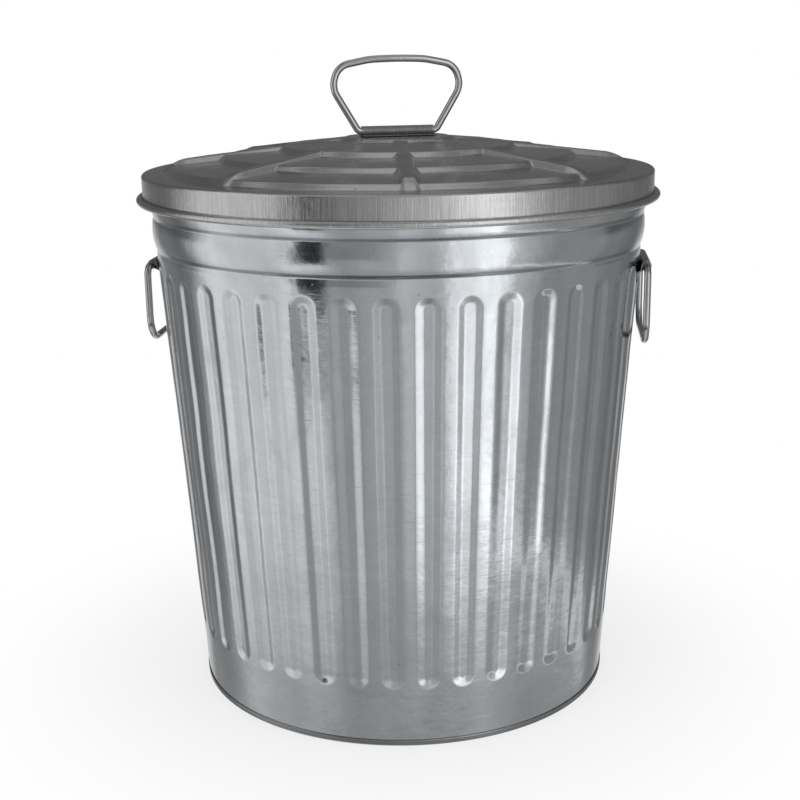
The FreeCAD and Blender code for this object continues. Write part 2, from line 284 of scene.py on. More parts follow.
def arc_section(middle_r, middle_z, radius, start, end, count):
    """Radii and heights of count points along an arc of a section, angles in degrees, as two
    columns."""
    a = np.radians(np.linspace(start, end, count))[:, None]
    return middle_r + radius * np.cos(a), middle_z + radius * np.sin(a)


# ---- can body ---------------------------------------------------------------------------------
def cone_r(z):
    """Radius of the plain cone that the wall is rolled to."""
    return BASE_R + WALL_TAPER * z


def plain_wall_r(z):
    """Wall without flutes: a cone that dips at each crease and swells as half a sine between
    creases, softened by a Gaussian average over a few millimetres of height."""
    fine = np.arange(-20.0, 430.0, PROFILE_STEP)
    low, middle, high = BEAD_CREASES
    creases = [low - CREASE_HALF_WIDTH, low, middle, high]
    depths = np.interp(fine, creases, [0.0, *CREASE_SET_IN])
    rise = np.zeros_like(fine)
    for a, b in ((low, middle), (middle, high)):
        share = np.clip((fine - a) / (b - a), 0.0, 1.0)
        rise += BEAD_RISE * np.sin(math.pi * share) ** BEAD_FULLNESS
    radius = np.where(fine > high, NECK_R, cone_r(fine) - depths + rise)
    reach = np.arange(-3.0, 3.01, PROFILE_STEP)
    weights = np.exp(-(reach / BEAD_SOFTNESS) ** 2 / 2)
    padded = np.pad(radius, len(reach) // 2, mode="reflect", reflect_type="odd")
    softened = np.convolve(padded, weights / weights.sum(), mode="valid")
    return np.interp(z, fine, softened)


def flute_centres():
    """Angle of each flute, spread evenly either side of the point across from the seam."""
    return (np.arange(FLUTES) - (FLUTES - 1) / 2) * FLUTE_PITCH - SEAM_TURN - math.pi / 2


def wall_columns(z):
    """Angles (row, column) that follow each flute's edges as its side run keeps its width."""
    run = FLUTE_SIDE_RUN / cone_r(z)[:, None]
    half = FLUTE_HALF - np.array(FLUTE_EDGE_SHARES) * run
    offsets = np.hstack([-half, np.zeros((len(z), 1)), half[:, ::-1],
                         np.full((len(z), 1), FLUTE_PITCH / 2)])
    centres = flute_centres()
    angles = (centres[None, :, None] + offsets[:, None, :]).reshape(len(z), -1)
    land = np.linspace(centres[-1] + FLUTE_PITCH / 2,
                       centres[0] + 2 * math.pi - FLUTE_HALF * 1.25, LAND_COLUMNS)
    return np.hstack([angles, np.repeat(land[None, 1:-1], len(z), 0)])


def flute_sink(angle, z):
    """Depth of the flutes: a stadium outline whose sides slope in over the side run, with both
    edges of each side rounded; pressed a little unevenly from flute to flute."""
    centres = flute_centres()
    number = np.clip(np.round((angle - centres[0]) / FLUTE_PITCH), 0, FLUTES - 1).astype(int)
    across = (angle - centres[number]) * cone_r(z)
    low_half = cone_r(FLUTE_LOW_Z) * FLUTE_HALF
    high_half = cone_r(FLUTE_HIGH_Z) * FLUTE_HALF
    past_low = np.minimum(z - FLUTE_LOW_Z - low_half, 0.0)
    past_high = np.maximum(z - FLUTE_HIGH_Z + high_half, 0.0)
    half = np.where(past_low < 0, low_half, cone_r(z) * FLUTE_HALF)
    half = np.where(past_high > 0, high_half, half)
    inwards = half - np.hypot(across, past_low + past_high)
    share = inwards / FLUTE_SIDE_RUN
    e = FLUTE_ROUNDING
    ramp = e * (soft_corner(share / e) - soft_corner((share - 1.0) / e))
    random = np.random.default_rng(PRESS_SEED)
    press = 1.0 + PRESS_SPREAD * random.standard_normal(FLUTES).clip(-1.5, 1.5)
    return FLUTE_DEPTH * press[number] * ramp


def fluted_skin(z, inset):
    """Grid of the fluted wall at heights z, set in by inset. Dents fade out towards its foot."""
    angle, height = wall_columns(z), z[:, None]
    fade = np.clip((height - 4.0) / 30.0, 0.0, 1.0)
    radius = plain_wall_r(height) - flute_sink(angle, height)
    return polar(radius + dents(WALL_DENTS, angle, height) * fade - inset, angle, height)


def beaded_skin(z, angle, inset):
    """Grid of the wall above the flutes, on fixed columns. Dents fade out towards the neck."""
    height = z[:, None]
    fade = np.clip((BEAD_CREASES[2] - height) / 20.0, 0.0, 1.0)
    radius = plain_wall_r(height) + dents(WALL_DENTS, angle, height) * fade - inset
    return polar(radius, angle, height)


def fluted_wall():
    """Lower part of the wall, from its foot to above the flutes: outer skin up, inner skin down."""
    foot, head = FLUTE_LOW_Z - FLUTE_MARGIN, FLUTE_HIGH_Z + FLUTE_MARGIN
    low_end, high_end = FLUTE_LOW_Z + 13.0, FLUTE_HIGH_Z - 14.0
    outer = spaced((WALL_FOOT_Z, 5), (foot, 18), (low_end, 18), (high_end, 20), (head, 2),
                   (JOIN_Z, 0))
    inner = spaced((WALL_FOOT_Z, 3), (foot, 8), (low_end, 10), (high_end, 8), (head, 1),
                   (JOIN_Z, 0))
    rows = [fluted_skin(outer, 0.0), fluted_skin(inner[::-1], SHEET)]
    return closed_ring("fluted_wall", np.vstack(rows))


def beaded_wall():
    """Upper part of the wall: two beads, the neck and the rolled rim, then back down inside."""
    low, middle, high = BEAD_CREASES
    near = CREASE_REACH
    outer = spaced((JOIN_Z, 5), (low - near, 12), (low + near, 11), (middle - near, 12),
                   (middle + near, 11), (high - near, 7), (high + near / 2, 2),
                   (RIM_MIDDLE_Z - RIM_LANDING, 0))
    inner = spaced((JOIN_Z, 2), (low - near, 4), (low + near, 4), (middle - near, 4),
                   (middle + near, 4), (high - near, 3), (RIM_MIDDLE_Z, 0))
    angle = wall_columns(np.array([JOIN_Z]))
    roll_r, roll_z = arc_section(RIM_MIDDLE_R, RIM_MIDDLE_Z, RIM_ROLL_R, *RIM_ROLL_ARC)
    rows = [beaded_skin(outer, angle, 0.0), polar(roll_r, angle, roll_z),
            beaded_skin(inner[::-1], angle, SHEET)]
    return closed_ring("beaded_wall", np.vstack(rows))


def lock_seam():
    """Folded seam at the back: a strip that stands proud of the wall, with rounded long edges.
    Its section is |cos|^k across and |sin|^k up, closed by two points inside the wall."""
    low, middle, high = BEAD_CREASES
    z = spaced((SEAM_LOW_Z, 10), (JOIN_Z, 10), (low + CREASE_REACH, 10),
               (middle - CREASE_REACH, 6), (middle + CREASE_REACH, 10), (high, 0))
    turns = np.radians(np.linspace(-180, 0, 13))
    half = SEAM_WIDTH / 2
    side = half * np.sign(np.cos(turns)) * np.abs(np.cos(turns)) ** SEAM_FULLNESS
    lift = SEAM_RISE * np.abs(np.sin(turns)) ** SEAM_FULLNESS
    offset = np.concatenate([side, [half * 0.5, -half * 0.5]])
    rise = np.concatenate([lift, [-SHEET / 2, -SHEET / 2]])
    back = math.pi / 2 - SEAM_TURN
    radius = plain_wall_r(z)[:, None] + rise[None, :]
    return capped("lock_seam", polar(radius, back + offset[None, :] / radius, z[:, None]))


def bottom_piece():
    """Floor with its hoop folded round the wall's foot: the section runs from a ring on the
    underside, out round the hoop and back over the floor, and both ends are capped."""
    hoop_r = BASE_R + SEAT_GAP + SHEET
    leg_r = BASE_R - SHEET - SEAT_GAP
    inner_r = leg_r - SHEET
    lean = WALL_TAPER * HOOP_HEIGHT
    rise = WALL_TAPER * FLOOR_Z
    top_r = hoop_r + lean
    under = FLOOR_Z - SHEET
    section = [(FLOOR_RINGS[0], under), (FLOOR_RINGS[1], under),
               (inner_r + rise - 3.0, under), (inner_r + rise - 0.8, FLOOR_Z - 1.2),
               (inner_r + 0.1, FLOOR_Z - 3.5), (inner_r, 0.5), (inner_r + 0.25, 0.0),
               (hoop_r - 0.25, 0.0), (hoop_r, 0.25), (hoop_r + lean * 0.3, HOOP_HEIGHT * 0.3),
               (hoop_r + lean * 0.7, HOOP_HEIGHT * 0.7), (top_r - 0.02, HOOP_HEIGHT - 0.2),
               (top_r - 0.2, HOOP_HEIGHT), (top_r - SHEET + 0.15, HOOP_HEIGHT),
               (top_r - SHEET, HOOP_HEIGHT - 0.2), (hoop_r - SHEET, SHEET), (leg_r, SHEET),
               (leg_r + rise * 0.6, FLOOR_Z * 0.6), (leg_r + rise - 0.3, FLOOR_Z - 0.2),
               (leg_r + rise - 1.2, FLOOR_Z), (FLOOR_RINGS[1], FLOOR_Z), (FLOOR_RINGS[0], FLOOR_Z)]
    radius, z = np.array(section).T
    angle = np.linspace(0, 2 * math.pi, HOOP_SIDES, endpoint=False)
    return capped("bottom_with_hoop", polar(radius[:, None], angle[None, :], z[:, None]))


# ---- lid --------------------------------------------------------------------------------------
def lid_columns():
    """Angles from a spoke, close together where the spokes' edges run."""
    half = spaced((0.0, 8), (2.2, 12), (5.2, 6), (9.0, 6), (15.0, 5), (180.0 / SPOKES, 0))
    one = np.radians(np.concatenate([-half[:0:-1], half[:-1]]))
    return (np.arange(SPOKES)[:, None] * 2 * math.pi / SPOKES + one[None, :]).ravel()


def lid_height(radius, angle):
    """Top of the lid above its ledge: the stepped dish, or a spoke's crest less the distance from
    its flat, whichever is higher, with fillets. Nearer the middle than the spokes begin, the crest
    is sunk far below the dish."""
    dish = soft_line(radius, STEP_RADII, STEP_RISES, STEP_ROUNDING)
    crest = soft_line(radius, SPOKE_RADII, SPOKE_RISES, SPOKE_ROUNDING)
    aside = (angle + math.pi / SPOKES) % (2 * math.pi / SPOKES) - math.pi / SPOKES
    distance = radius * np.abs(np.sin(aside))
    flank = SPOKE_FLANK * soft_corner((distance - SPOKE_HALF_WIDTH) / SPOKE_FLANK)
    sunk = np.where(radius < SPOKE_RADII[0] - SPOKE_ROUNDING, -50.0, 0.0)
    return soft_max(dish, crest - flank + sunk, SPOKE_FILLET)


def lid_top(radius, lowered):
    """Grid of the lid's top at the given radii, lowered by the sheet for its underside. Dents
    fade out towards the ledge and towards the crown."""
    angle, radius = lid_columns()[None, :], radius[:, None]
    height = LEDGE_Z + lid_height(radius, angle) - lowered
    fade = np.clip((185.0 - radius) / 20.0, 0.0, 1.0) * np.clip((radius - 36.0) / 10.0, 0.0, 1.0)
    return polar(radius, angle + LID_TURN, height + dents(LID_DENTS, angle, radius) * fade)


def stamped_lid():
    """Lid: the section runs from the middle of the underside out to the skirt, round the roll at
    its foot, up the skirt and back over the top to the middle."""
    top = spaced(*LID_ROWS)
    under = spaced(*[(r - 0.3, max(2, n // 3)) for r, n in LID_ROWS])
    angle = (lid_columns() + LID_TURN)[None, :]
    corner = (LID_R - LID_CORNER_R, LEDGE_Z - LID_CORNER_R)
    corner_r, corner_z = arc_section(*corner, LID_CORNER_R, 0, 84, 7)
    inner_r, inner_z = arc_section(*corner, LID_CORNER_R - SHEET, 84, 0, 4)
    roll_r, roll_z = arc_section(LID_R - SHEET + SKIRT_ROLL_R, SKIRT_LOW_Z, SKIRT_ROLL_R,
                                 *SKIRT_ROLL_ARC)
    skirt = spaced((SKIRT_LOW_Z + 4.0, 6), (LEDGE_Z - LID_CORNER_R - 1.0, 0))[:, None]
    rows = [lid_top(under, SHEET), polar(inner_r, angle, inner_z), polar(roll_r, angle, roll_z),
            polar(LID_R + dents(SKIRT_DENTS, angle, skirt), angle, skirt),
            polar(corner_r, angle, corner_z), lid_top(top[::-1], 0.0)]
    return capped("stamped_lid", np.vstack(rows))


# ---- wires ------------------------------------------------------------------------------------
def rounded_line(points, radii):
    """Stations (point, direction) of a line whose corners are tangent arcs of the given radii."""
    points = [np.array(p, float) for p in points]
    places = [points[0]]
    ways = [(points[1] - points[0]) / np.linalg.norm(points[1] - points[0])]
    for before, corner, after, radius in zip(points, points[1:], points[2:], radii):
        into = (corner - before) / np.linalg.norm(corner - before)
        out = (after - corner) / np.linalg.norm(after - corner)
        turn = math.acos(float(np.clip(into @ out, -1, 1)))
        inwards = (out - into) / np.linalg.norm(out - into)
        middle = corner + inwards * radius / math.cos(turn / 2)
        side = corner - into * radius * math.tan(turn / 2) - middle
        steps = max(3, math.ceil(math.degrees(turn) / BEND_STEP))
        for share in np.linspace(0, 1, steps + 1):
            c, s = math.cos(turn * share), math.sin(turn * share)
            places.append(middle + side * c + into * radius * s)
            ways.append(into * c - side / radius * s)
    places.append(points[-1])
    ways.append((points[-1] - points[-2]) / np.linalg.norm(points[-1] - points[-2]))
    return np.array(places), np.array(ways)


def wire(name, points, radii, normal):
    """Round wire: a circle carried along a rounded line that lies in the plane across normal."""
    places, ways = rounded_line(points, radii)
    turns = np.linspace(0, 2 * math.pi, WIRE_SIDES, endpoint=False)[None, :, None]
    normal = np.array(normal, float)
    across = np.cross(ways, normal)[:, None, :]
    ring = np.cos(turns) * across - np.sin(turns) * normal
    return capped(name, places[:, None, :] + WIRE_R * ring)


def turned_z(points, angle):
    """Points turned about Z."""
    c, s = math.cos(angle), math.sin(angle)
    x, y, z = points[..., 0], points[..., 1], points[..., 2]
    return np.stack([x * c - y * s, x * s + y * c, z], -1)


def side_wire(side, sign):
    """Drop handle of the right (sign 1) or left (sign -1) side, its ends meeting in the ear."""
    half = SIDE_HALF_WIDTH
    path = [(WIRE_END_GAP, 0), (half, 0), (half, SIDE_DROP), (-half, SIDE_DROP), (-half, 0),
            (-WIRE_END_GAP, 0)]
    points = [(sign * HINGE_X, sign * y, HINGE_Z - drop) for y, drop in path]
    return wire(side + "_drop_handle", points, SIDE_BENDS, (sign, 0, 0))


def lid_wire():
    """Upright bail of the lid, in the plane of the strap."""
    right = [(WIRE_END_GAP, 0.0), *HANDLE_OUTLINE[:4]]
    path = right + [HANDLE_OUTLINE[4]] + [(-x, up) for x, up in reversed(right)]
    bends = list(HANDLE_BENDS) + list(reversed(HANDLE_BENDS[:-1]))
    along = np.array([math.cos(STRAP_TURN), math.sin(STRAP_TURN), 0.0])
    points = [along * x + np.array([0, 0, STRAP_AXIS_Z + up]) for x, up in path]
    return wire("lid_bail", points, bends, (-along[1], along[0], 0.0))


# ---- folded strips ----------------------------------------------------------------------------
def strip_section(line, thickness):
    """Closed section of a strip: a line of points and, back again, the same line set in."""
    way = np.gradient(line, axis=0)
    way /= np.linalg.norm(way, axis=1)[:, None]
    inside = line + thickness * np.stack([-way[:, 1], way[:, 0]], -1)
    return np.vstack([line, inside[::-1]])


def folded_ear(side, sign):
    """Strip folded round the drop handle's wire, both leaves lying on the wall below it. Its
    section in x and z is carried along y; the leaves sink with the wall's curve, R - sqrt(R^2 -
    y^2), and are cut to a blunt shield."""
    leaves = 2 * STRAP_SHEET + SEAT_GAP / 2
    wall_x = cone_r(HINGE_Z) + SEAT_GAP - HINGE_X
    lowest = EAR_LOW_Z - HINGE_Z
    turns = np.radians(np.linspace(-112, 172, 34))
    roll = ROLL_R * np.stack([np.cos(turns), np.sin(turns)], -1)
    drop = np.linspace(lowest, -ROLL_R - 0.6, 8)
    front = np.stack([wall_x + WALL_TAPER * drop + leaves, drop], -1)
    down = np.linspace(-1.5, lowest, 9)
    back = np.stack([wall_x + WALL_TAPER * down, down], -1)
    section = strip_section(np.vstack([front, roll, back]), STRAP_SHEET)
    half = EAR_LENGTH / 2
    y = np.concatenate([[-half], np.linspace(-half + 0.3, half - 0.3, 43), [half]])
    x = np.repeat(section[None, :, 0], len(y), 0)
    z = np.repeat(section[None, :, 1], len(y), 0)
    leaf = np.clip((z + ROLL_R) / (lowest + ROLL_R), 0.0, 1.0)
    corner = np.interp(np.abs(y), [EAR_TIP_LENGTH / 2, half], [0.0, EAR_CORNER_Z - EAR_LOW_Z])
    z = z + corner[:, None] * leaf
    sink = cone_r(HINGE_Z) - np.sqrt(cone_r(HINGE_Z) ** 2 - y ** 2)
    x = x - sink[:, None] * np.clip(leaf * 3.0, 0.0, 1.0)
    grid = np.stack([sign * (HINGE_X + x), sign * (y[:, None] + 0 * x), HINGE_Z + z], -1)
    return strip(side + "_folded_ear", grid)


def folded_strap():
    """Strip folded over the lid handle's wire: a roll between two flat flanges. Along its length
    the roll is crimped by 1 + cos(x) waves that are strongest on its two sides."""
    turns = np.radians(np.linspace(-42, 222, 37))
    roll = ROLL_R * np.stack([np.cos(turns), np.sin(turns)], -1)
    flat = -ROLL_R + STRAP_SHEET
    flange = np.array([[STRAP_HALF_WIDTH, flat - 0.3], [STRAP_HALF_WIDTH - 0.3, flat], [10.0, flat],
                       [7.5, flat], [5.6, flat], [4.6, flat + 0.1], [3.9, flat + 0.35]])
    section = strip_section(np.vstack([flange, roll, flange[::-1] * [-1, 1]]), STRAP_SHEET)
    section[:, 1] = np.maximum(section[:, 1], -ROLL_R)
    half = STRAP_LENGTH / 2
    x = np.linspace(-half, half, 305)[:, None]
    y = np.repeat(section[None, :, 0], len(x), 0)
    z = np.repeat(section[None, :, 1], len(x), 0)
    crimp = 0.5 + 0.5 * np.cos(2 * math.pi * x / CRIMP_PITCH)
    crimp = crimp * np.clip((half - np.abs(x)) / 2.0, 0.0, 1.0)
    up = np.degrees(np.arctan2(z, np.abs(y)))
    side = np.exp(-((up - CRIMP_MIDDLE) / CRIMP_SPREAD) ** 2)
    on_roll = (np.hypot(y, z) > EYE_R + 0.5) * (np.abs(y) < ROLL_R + 0.01)
    squeeze = 1.0 - CRIMP_DEPTH * crimp * side * on_roll
    grid = np.stack([x + 0 * y, y * squeeze, STRAP_AXIS_Z + z * squeeze], -1)
    return strip("folded_strap", turned_z(grid, STRAP_TURN))


# ---- finishes ---------------------------------------------------------------------------------
class Field:
    """A number that varies over a surface; arithmetic on it adds Math nodes to its finish."""

    def __init__(self, finish, socket):
        self.finish = finish
        self.socket = socket

    def math(self, operation, *others, clamp=False):
        settings = {"operation": operation, "use_clamp": clamp}
        return self.finish.add("ShaderNodeMath", settings, dict(enumerate((self, *others))))

    def __add__(self, other):
        return self.math("ADD", other)

    def __radd__(self, other):
        return self + other

    def __mul__(self, other):
        return self.math("MULTIPLY", other)

    def __rmul__(self, other):
        return self * other

    def __sub__(self, other):
        return self.math("SUBTRACT", other)

    def __rsub__(self, other):
        return self * -1.0 + other

    def clamped(self):
        """The same number, kept between 0 and 1."""
        return self.math("MULTIPLY", 1.0, clamp=True)

    def above(self, low, high):
        """0 below low, 1 above high, a smooth step between."""
        return self.finish.add("ShaderNodeMapRange", {"interpolation_type": "SMOOTHSTEP"},
                               {"Value": self, "From Min": low, "From Max": high}, "Result")


class Finish:
    """One material: its nodes are added by add() and end in a metal, or in any other shader."""

    def __init__(self, name):
        self.material = bpy.data.materials.new(name)
        self.material.use_nodes = True
        self.tree = self.material.node_tree
        self.tree.nodes.clear()
        self.place = self.add("ShaderNodeTexCoord", {}, {}, "Object")

    def add(self, kind, settings, sockets, output=0):
        """Node of a kind, with its settings, then its input values or links; returns an output."""
        node = self.tree.nodes.new(kind)
        for name, value in settings.items():
            setattr(node, name, value)
        for name, value in sockets.items():
            if isinstance(value, Field):
                self.tree.links.new(value.socket, node.inputs[name])
            else:
                node.inputs[name].default_value = value
        return Field(self, node.outputs[output])

    def stretched(self, x, y, z):
        """Object coordinates multiplied by a scale for each axis."""
        return self.add("ShaderNodeMapping", {}, {"Vector": self.place, "Scale": (x, y, z)})

    def noise(self, place, scale, detail=3.0, roughness=0.55, distortion=0.0):
        return self.add("ShaderNodeTexNoise", {}, {
            "Vector": place, "Scale": scale, "Detail": detail, "Roughness": roughness,
            "Distortion": distortion})

    def mix(self, share, a, b):
        """Colour between a and b."""
        return self.add("ShaderNodeMix", {"data_type": "RGBA"}, {0: share, 6: a, 7: b}, 2)

    def end(self, shader):
        output = self.tree.nodes.new("ShaderNodeOutputMaterial")
        self.tree.links.new(shader.socket, output.inputs["Surface"])
        return self.material

    def metal(self, colour, roughness, height, distance):
        """Metal whose colour, roughness and relief (a height, and what 1 stands for in metres)
        vary over the surface."""
        relief = self.add("ShaderNodeBump", {}, {
            "Height": height, "Distance": distance, "Strength": 1.0})
        return self.end(self.add("ShaderNodeBsdfPrincipled", {}, {
            "Base Color": colour, "Roughness": roughness, "Metallic": 1.0, "Normal": relief}))


def shades(tone, *factors):
    """A colour made darker or paler by each factor, as RGBA."""
    return [tuple(k * t for t in tone) + (1.0,) for k in factors]


def zinc_coat(name, tone, gloss, streaks, streak_share, relief, drawing=0.0, creases=()):
    """Hot-dipped zinc on sheet: cloudy grey with faint spangle, rolling marks along the sheet,
    smudges of handling, small dark specks and fine scratches. streaks is the scale of the marks
    on each axis and streak_share how much they show; relief is in metres. drawing makes the marks
    stronger below the lid's ledge, where its skirt was drawn down over a die; creases are heights
    in millimetres where the colour is darkened to a thin line all round, a painted shade that
    stands in for the dark reflections in the wall's creases."""
    f = Finish(name)
    clouds = f.noise(f.place, 11.0, detail=5.0, roughness=0.62)
    smudge = f.noise(f.stretched(1.0, 1.0, 0.5), 24.0, detail=6.0, roughness=0.66, distortion=0.8)
    smudge = smudge.above(0.50, 0.70)
    wipes = f.noise(f.stretched(14.0, 14.0, 110.0), 1.0, detail=4.0, roughness=0.6, distortion=0.4)
    wipes = wipes.above(0.56, 0.74)
    marks = f.noise(f.stretched(*streaks), 1.0, detail=5.0, roughness=0.7)
    fine = f.noise(f.stretched(*(3.3 * k for k in streaks)), 1.0, detail=2.0, roughness=0.6)
    height = f.add("ShaderNodeSeparateXYZ", {}, {"Vector": f.place}, "Z")
    drawn = 1.0 + (1.0 - height.above(0.4135, 0.4165)) * drawing
    cells = f.add("ShaderNodeTexVoronoi", {"feature": "F1"},
                  {"Vector": f.place, "Scale": 150.0}, "Color")
    spangle = f.add("ShaderNodeSeparateColor", {}, {"Color": cells})
    spots = f.add("ShaderNodeTexVoronoi", {"feature": "F1"},
                  {"Vector": f.stretched(1.0, 1.0, 0.8), "Scale": 105.0}, "Distance")
    specks = (1.0 - spots.above(0.05, 0.13)) * f.noise(f.place, 27.0).above(0.53, 0.62)
    scratch = f.noise(f.stretched(30.0, 30.0, 1100.0), 1.0, detail=2.0).above(0.66, 0.74)
    grit = f.noise(f.place, 700.0, detail=2.0, roughness=0.7)
    light = (clouds - 0.5) * 0.34 + ((marks - 0.5) + (fine - 0.5) * 0.8) * drawn * streak_share
    light = light + (spangle - 0.5) * 0.05 - smudge * 0.11 + wipes * 0.07 - specks * 0.34
    light = light - scratch * 0.07 + (grit - 0.5) * 0.22 + 0.5
    dark, pale = shades(tone, 0.66, 1.32)
    # Painted shade: a thin dark line all round at each crease height, standing in for the dark
    # reflections in the creases.
    for crease in creases:
        off = (height - crease * MM).math("ABSOLUTE")
        light = light - (1.0 - off.above(0.0003, 0.0019)) * 0.9
    colour = f.mix(light.clamped(), dark, pale)
    rough = gloss + (clouds - 0.5) * 0.14 + smudge * 0.10 - wipes * 0.03 + (marks - 0.5) * 0.12
    rough = rough + specks * 0.2 + (grit - 0.5) * 0.06
    rise = ((marks - 0.5) * 0.5 + (fine - 0.5) * 0.30) * drawn
    rise = rise + (f.noise(f.place, 120.0, detail=2.0) - 0.5) * 1.3
    rise = rise + (f.noise(f.place, 34.0) - 0.5) * 7.0 - scratch * 0.25 + (grit - 0.5) * 0.10
    return f.metal(colour, rough, rise, relief)


def bright_wire(name, tone):
    """Drawn and plated wire: smooth, with faint lengthwise marks and a few dull patches."""
    f = Finish(name)
    dull = f.noise(f.place, 55.0, detail=4.0).above(0.5, 0.75)
    marks = f.noise(f.place, 420.0, detail=2.0)
    light = 0.5 + (marks - 0.5) * 0.25 - dull * 0.28
    dark, pale = shades(tone, 0.75, 1.2)
    colour = f.mix(light.clamped(), dark, pale)
    rough = 0.08 + dull * 0.12 + (marks - 0.5) * 0.05
    return f.metal(colour, rough, marks + f.noise(f.place, 90.0, detail=2.0) * 2.0, 0.00002)


# ---- the can ----------------------------------------------------------------------------------
# The body's finish carries lines of painted shade at the two lower bead creases.
body_zinc = zinc_coat("body_zinc", (0.52, 0.543, 0.565), gloss=0.14, streaks=(7.0, 7.0, 420.0),
                      streak_share=0.06, relief=0.00005, creases=(360.5, 385.5))
lid_zinc = zinc_coat("lid_zinc", (0.475, 0.475, 0.475), gloss=0.21, streaks=(600.0, 600.0, 8.0),
                     streak_share=0.20, relief=0.00006, drawing=3.0)
hoop_zinc = zinc_coat("hoop_zinc", (0.25, 0.255, 0.26), gloss=0.34, streaks=(60.0, 60.0, 500.0),
                      streak_share=0.20, relief=0.00005)
strap_zinc = zinc_coat("strap_zinc", (0.27, 0.27, 0.27), gloss=0.22, streaks=(560.0, 560.0, 30.0),
                       streak_share=0.9, relief=0.00005)
wire_zinc = bright_wire("wire_zinc", (0.43, 0.435, 0.44))


def dress(piece, body, slot, finish, *nodes):
    """Give a piece its finish and its body, and hide the solids it stands for."""
    piece.data.materials.append(finish)
    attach(piece, body)
    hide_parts(*nodes)


dress(fluted_wall(), "can", "body_zinc", body_zinc, "body_wall")
dress(beaded_wall(), "can", "body_zinc", body_zinc, "body_wall")
dress(lock_seam(), "can", "body_zinc", body_zinc, "body_wall")
dress(bottom_piece(), "can", "body_zinc", hoop_zinc, "bottom_pan")
for side, sign in (("right", 1), ("left", -1)):
    dress(folded_ear(side, sign), "can", "bright_zinc", strap_zinc, side + "_ear")
    dress(side_wire(side, sign), side + "_bail", "wire_zinc", wire_zinc, side + "_handle")
dress(stamped_lid(), "lid", "lid_zinc", lid_zinc, "lid_pan")
dress(folded_strap(), "lid", "bright_zinc", strap_zinc, "lid_strap")
dress(lid_wire(), "lid_bail", "wire_zinc", wire_zinc, "lid_handle")


# ---- studio -----------------------------------------------------------------------------------
CAMERA_TURN = math.radians(6.0)        # the camera stands 6 degrees to the right of the front
CAMERA_DOWN = math.radians(14.68)
CAMERA_ROLL = math.radians(-0.77)
CAMERA_PLACE = (0.11565, -1.10797, 0.517)
CAMERA_LENS = 62.5

AIM = (0, 0, 0.22)                     # the lamps look at the middle of the can
FLOOR_SIDES = 96
FLOOR_RADII = (200.0, 400.0, 700.0, 1200.0, 5000.0)

TENT_R = 2600.0
TENT_MIDDLE_Z = 200.0
TENT_LEVEL = 0.85                      # brightness of the bare tent

# Soft cards of the tent: from and to in azimuth (0 towards the camera, + to its right), from and
# to in elevation, softness in azimuth and elevation, and brightness; later cards cover earlier.
CARDS = {
    "right_fade": (60, 150, -60, 50, 22, 12, 0.36),
    "left_dark": (-150, -106, -60, 45, 11, 8, 0.22),
    "right_dark": (122, 150, -60, 45, 16, 8, 0.16),
    "left_window": (-99, -45, -60, 40, 6, 8, 0.98),
    "camera_side": (-34, 2, -60, 60, 4, 8, 0.55),
    "beside_camera": (2, 20, -60, 60, 3, 8, 0.70),
    "gap_fade": (-36, -6, -9, 50, 7, 2, 0.36),
    "gap": (-47, -33, -16, 50, 1.2, 2.0, 0.015),
    "right_window": (22, 47, -30, 42, 3, 4, 1.55),
    "underside": (-70, 42, -50, -39, 4, 1.5, 0.16),
    "backdrop": (100, 260, 0, 50, 12, 3, 0.15),
    "ceiling": (-180, 180, 54, 90, 10, 8, 0.26),
    "skylight": (-180, 180, 70, 90, 10, 8, 0.65),
    "back_light": (150, 210, -60, -6, 14, 4, 0.9),
}
LOW_LEVEL = 0.42                       # brightness that the floor close by is evened out to
RIPPLES = ((0.12, 12, 8), (0.05, 0, 19))   # height of a wave, its start, and waves round the tent


def eased(x):
    """x^2 (3 - 2x), with x held between 0 and 1."""
    x = np.clip(x, 0, 1)
    return x * x * (3 - 2 * x)


def tent_glow(azimuth, elevation):
    """Brightness of the tent, in degrees: a plain level, covered card by card by soft patches,
    rippled round the horizon by sine waves, evened out towards the floor close by, and with the
    lit edge of the floor as a thin slanting line."""
    glow = TENT_LEVEL
    for left, right, low, high, soft_az, soft_el, level in CARDS.values():
        middle = (left + right) / 2
        off = np.abs((azimuth - middle + 180) % 360 - 180) - (right - left) / 2
        share = eased(0.5 - off / (2 * soft_az)) * eased(0.5 + (elevation - low) / (2 * soft_el))
        share = share * eased(0.5 + (high - elevation) / (2 * soft_el))
        glow = glow + (level - glow) * share
    waves = sum(k * np.sin(np.radians(azimuth + start) * n) for k, start, n in RIPPLES)
    glow = glow * (1 + waves * np.clip((30 - elevation) / 30, 0, 1))
    # The floor close by fades in from 24 to 34 degrees down, and out again from 39 to 41.
    near = np.clip((-24 - elevation) / 10, 0, 1) * np.clip((elevation + 41) / 2, 0, 1)
    glow = glow + (LOW_LEVEL - glow) * 0.7 * near
    # Its lit edge lies 25 degrees down at azimuth 40, and lower further to the right.
    slant = np.abs(elevation + 25.0 + (azimuth - 40.0) * 0.065) / 1.3
    span = np.clip((azimuth - 34.0) / 8.0, 0, 1) * np.clip((126.0 - azimuth) / 12.0, 0, 1)
    return glow + 0.8 * np.exp(-slant ** 2) * span


